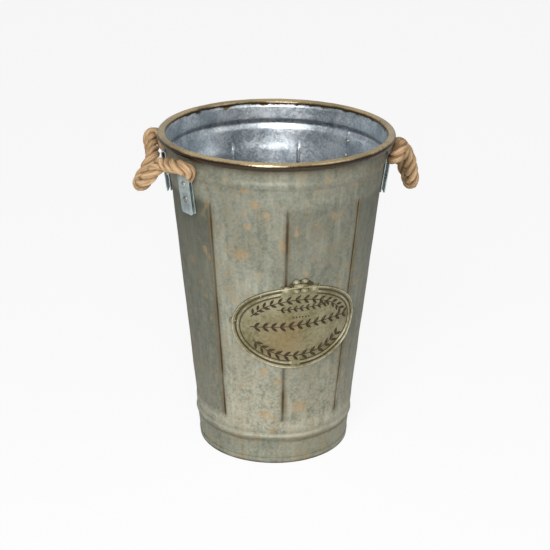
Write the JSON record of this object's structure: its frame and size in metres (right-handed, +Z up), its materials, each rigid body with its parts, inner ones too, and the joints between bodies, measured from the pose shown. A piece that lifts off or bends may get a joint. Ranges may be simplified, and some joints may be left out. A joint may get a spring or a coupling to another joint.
{
  "type": "florist bucket",
  "caption": "Tall tapered sheet-metal florist bucket with a rolled rim, pressed creases, an oval plaque and rope handles on folded straps.",
  "frame": {"origin": "middle of the base, on the surface that the bucket stands on", "axes": "+Z up the bucket's axis, -Y towards the front with the plaque, +X towards the right-hand rope handle"},
  "size_m": [0.3331, 0.2692, 0.38],
  "materials": {
    "patinated_zinc": "aged galvanised sheet, grey-green with rust blooms",
    "aged_brass": "worn antique brass tone",
    "steel_wire": "plain drawn wire",
    "pressed_plaque": "aged pressed sheet, yellowed",
    "bright_zinc": "bright galvanised",
    "rivet_steel": "satin",
    "jute_rope": "laid three-strand jute"
  },
  "bodies": {
    "root": {"bucket_wall": "patinated_zinc", "wall_lap_strip": "patinated_zinc", "bottom_disc": "patinated_zinc", "base_seam_ring": "patinated_zinc", "rim_roll": "aged_brass", "rim_wire": "steel_wire", "oval_plaque": "pressed_plaque", "plaque_pins": "pressed_plaque", "left_front_strap": "bright_zinc", "left_front_rivets": "rivet_steel", "left_front_rope_end": "jute_rope", "left_rear_strap": "bright_zinc", "left_rear_rivets": "rivet_steel", "left_rear_rope_end": "jute_rope", "right_front_strap": "bright_zinc", "right_front_rivets": "rivet_steel", "right_front_rope_end": "jute_rope", "right_rear_strap": "bright_zinc", "right_rear_rivets": "rivet_steel", "right_rear_rope_end": "jute_rope"},
    "left_handle": {"left_rope_handle": "jute_rope"},
    "right_handle": {"right_rope_handle": "jute_rope"}
  },
  "joints": [
    {"name": "left_handle_swing", "type": "hinge", "parent": "root", "child": "left_handle", "pos_m": [-0.13097, -0.04597, 0.35267], "axis": [-0.0759, 0.9971, 0.0104], "range_deg": [0, 100]},
    {"name": "right_handle_swing", "type": "hinge", "parent": "root", "child": "right_handle", "pos_m": [0.13968, -0.01343, 0.35347], "axis": [0.202, -0.9793, 0.0104], "range_deg": [0, 95]}
  ]
}
